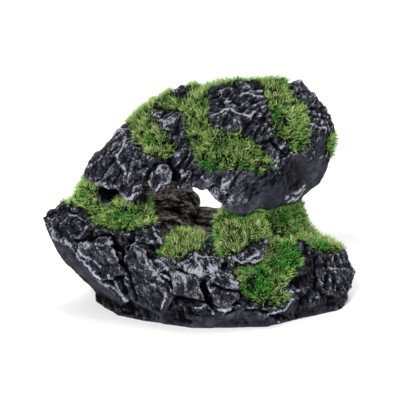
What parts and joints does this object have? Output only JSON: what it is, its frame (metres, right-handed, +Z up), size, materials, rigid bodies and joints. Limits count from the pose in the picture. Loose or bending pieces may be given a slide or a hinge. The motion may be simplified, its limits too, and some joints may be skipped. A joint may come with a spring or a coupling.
{
  "type": "aquarium cave ornament",
  "caption": "Craggy rock cave ornament of glued cast-resin stones: a mossy arch over a hollow room, open at the front and at the back.",
  "frame": {"origin": "middle of the box around the ornament, on the surface it stands on", "axes": "+X to the right along the length, -Y out of the open mouth of the cave, +Z up"},
  "size_m": [0.18, 0.1058, 0.132],
  "materials": {
    "charcoal_resin": "cast polyresin with stone filler, charcoal, matt, edges dry-brushed light grey",
    "brown_resin": "cast polyresin with stone filler, brown-grey strata, matt",
    "epoxy": "dark filled epoxy putty, matt",
    "moss": "flocked nylon fibres, yellow-green tips over dark roots"
  },
  "bodies": {
    "root": {"base_rock": "charcoal_resin", "arch_rock": "charcoal_resin", "back_wall_rock": "brown_resin", "sill_stone": "charcoal_resin", "pillar_stone": "charcoal_resin", "rear_pillar": "charcoal_resin", "back_wall_rock_bed": "epoxy", "sill_stone_bed": "epoxy", "pillar_stone_bed": "epoxy", "rear_pillar_bed": "epoxy", "arch_bed_back": "epoxy", "arch_bed_left": "epoxy", "arch_bed_pillar": "epoxy", "arch_bed_rear": "epoxy", "arch_moss_left": "moss", "arch_moss_centre": "moss", "arch_moss_right": "moss", "arch_moss_side": "moss", "shoulder_moss": "moss", "sill_moss": "moss", "pillar_moss": "moss", "rear_moss": "moss", "front_moss": "moss", "back_moss_upper": "moss", "back_moss_lower": "moss"}
  },
  "joints": []
}
